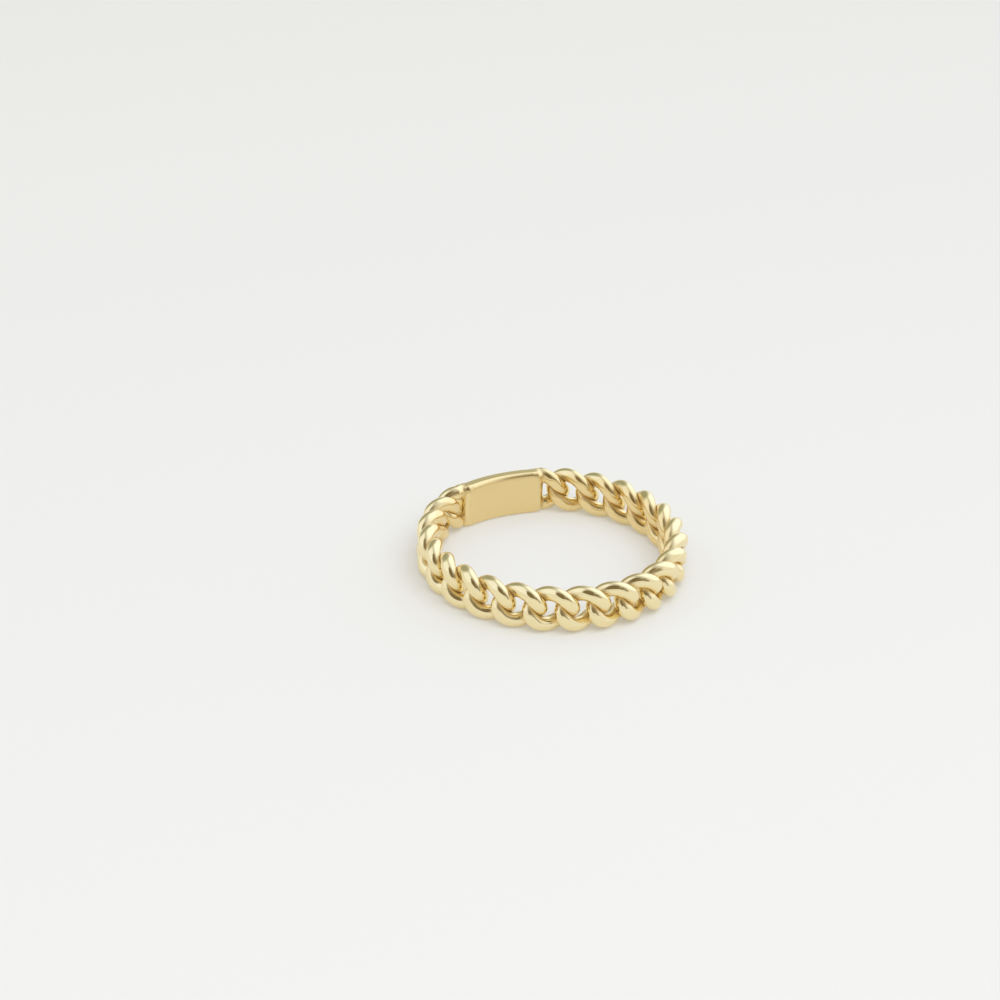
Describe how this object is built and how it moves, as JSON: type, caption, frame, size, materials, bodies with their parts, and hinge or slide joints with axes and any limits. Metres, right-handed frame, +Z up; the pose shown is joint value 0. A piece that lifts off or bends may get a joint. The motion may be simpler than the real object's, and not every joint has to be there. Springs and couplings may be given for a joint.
{
  "type": "chain link ring",
  "caption": "Curb chain finger ring of hooked, twisted wire links with filed crowns, closed by a plain curved plate, lying on its side.",
  "frame": {"origin": "on the surface that the ring lies on, in the middle of the finger hole", "axes": "+Z up out of that surface, along the axis of the finger hole; +Y from the middle of the hole to the middle of the plate"},
  "size_m": [0.0208, 0.0202, 0.0036],
  "materials": {
    "link_gold": "polished yellow gold",
    "plate_gold": "polished yellow gold, inner face a little satin"
  },
  "bodies": {
    "root": {"plate": "plate_gold", "link_01": "link_gold", "link_02": "link_gold", "link_03": "link_gold", "link_04": "link_gold", "link_05": "link_gold", "link_06": "link_gold", "link_07": "link_gold", "link_08": "link_gold", "link_09": "link_gold", "link_10": "link_gold", "link_11": "link_gold", "link_12": "link_gold", "link_13": "link_gold", "link_14": "link_gold", "link_15": "link_gold", "link_16": "link_gold", "link_17": "link_gold", "link_18": "link_gold", "link_19": "link_gold", "link_20": "link_gold", "link_21": "link_gold"}
  },
  "joints": []
}
